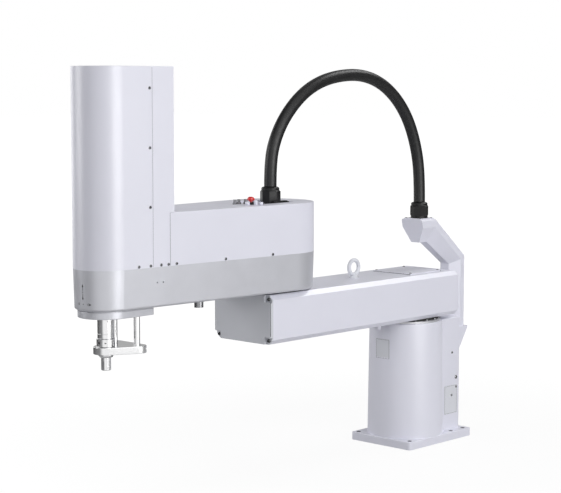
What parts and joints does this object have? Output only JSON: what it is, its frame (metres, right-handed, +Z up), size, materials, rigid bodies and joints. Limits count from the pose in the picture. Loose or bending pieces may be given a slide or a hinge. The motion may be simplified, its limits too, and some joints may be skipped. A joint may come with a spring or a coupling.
{
  "type": "scara robot",
  "caption": "Four-axis horizontal-arm robot with a base column, two swinging arms, a vertical screw spline shaft and an overhead cable conduit.",
  "frame": {"origin": "on the first joint's axis, at the underside of the base plate", "axes": "+X forward along both arms in the rest pose, +Y to the robot's left, +Z up"},
  "size_m": [1.5323, 0.2414, 1.132],
  "materials": {
    "white_paint": "powder-coated, satin",
    "grey_paint": "painted grey, satin",
    "cast_silver": "fine cast, satin",
    "black_plastic": "satin",
    "conduit_black": "satin, finely corrugated",
    "seal_rubber": "matte",
    "screw_steel": "satin",
    "bright_steel": "ground bright",
    "machined_steel": "machined",
    "plate_steel": "plain",
    "motor_black": "satin",
    "black_steel": "black oxide",
    "red_plastic": "gloss",
    "eye_paint": "painted light grey, satin"
  },
  "bodies": {
    "base": {"base_casting": "white_paint", "base_bottom_cover": "plate_steel", "duct_shelf": "white_paint", "duct_post": "white_paint", "duct_lid": "white_paint", "duct_lid_screws": "black_steel", "base_gland": "black_plastic", "service_panel": "screw_steel", "power_connector": "black_plastic", "signal_connector": "black_plastic", "air_couplings": "screw_steel", "joint1_motor": "motor_black", "joint1_reducer": "machined_steel", "joint1_seal": "seal_rubber", "joint1_reducer_screws": "screw_steel", "housing_screws": "screw_steel", "conduit": "conduit_black"},
    "arm1": {"arm1_casting": "white_paint", "arm1_end_cap": "grey_paint", "end_cap_screws": "black_steel", "joint1_cover": "white_paint", "joint1_cover_screws": "screw_steel", "lifting_eye": "eye_paint", "joint1_hub": "machined_steel", "joint1_stop_block": "white_paint", "joint2_reducer": "machined_steel", "joint2_seal": "seal_rubber"},
    "arm2": {"arm2_casting": "cast_silver", "arm2_cover": "white_paint", "tower_front_cover": "white_paint", "tower_rear_cover": "white_paint", "tower_cap": "white_paint", "cover_screws": "screw_steel", "bottom_flange": "cast_silver", "rod_bushings": "machined_steel", "joint2_hub": "machined_steel", "joint2_motor": "motor_black", "lift_motor": "motor_black", "spin_motor": "motor_black", "spin_nut_housing": "machined_steel", "lift_nut_housing": "machined_steel", "tower_frame": "plate_steel", "arm2_gland": "black_plastic", "button_bezel": "black_plastic", "arm_air_fittings": "screw_steel", "arm_connector": "black_plastic", "joint2_stop_pins": "screw_steel"},
    "z_carriage": {"guide_plate": "bright_steel", "guide_rods": "bright_steel", "guide_bearing": "bright_steel"},
    "tool_shaft": {"spline_shaft": "bright_steel", "upper_collar": "bright_steel", "lower_collar": "bright_steel", "collar_screws": "black_steel"},
    "brake_button": {"brake_button": "red_plastic"}
  },
  "joints": [
    {"name": "joint1_swing", "type": "hinge", "parent": "base", "child": "arm1", "pos_m": [0, 0, 0.3856], "axis": [0, 0, 1], "range_deg": [-130, 130], "deforming": ["conduit"]},
    {"name": "joint2_swing", "type": "hinge", "parent": "arm1", "child": "arm2", "pos_m": [0.6, 0, 0.5262], "axis": [0, 0, 1], "range_deg": [-145, 145]},
    {"name": "joint3_lift", "type": "slide", "parent": "arm2", "child": "z_carriage", "axis": [0, 0, -1], "range_m": [0, 0.42]},
    {"name": "joint4_spin", "type": "hinge", "parent": "z_carriage", "child": "tool_shaft", "pos_m": [1.2, 0, 0.42], "axis": [0, 0, 1], "range_deg": [-360, 360]},
    {"name": "brake_release_button", "type": "slide", "parent": "arm2", "child": "brake_button", "axis": [0, 0, -1], "range_m": [0, 0.0035], "stiffness_N_per_m": 300, "springref_m": -0.002}
  ]
}
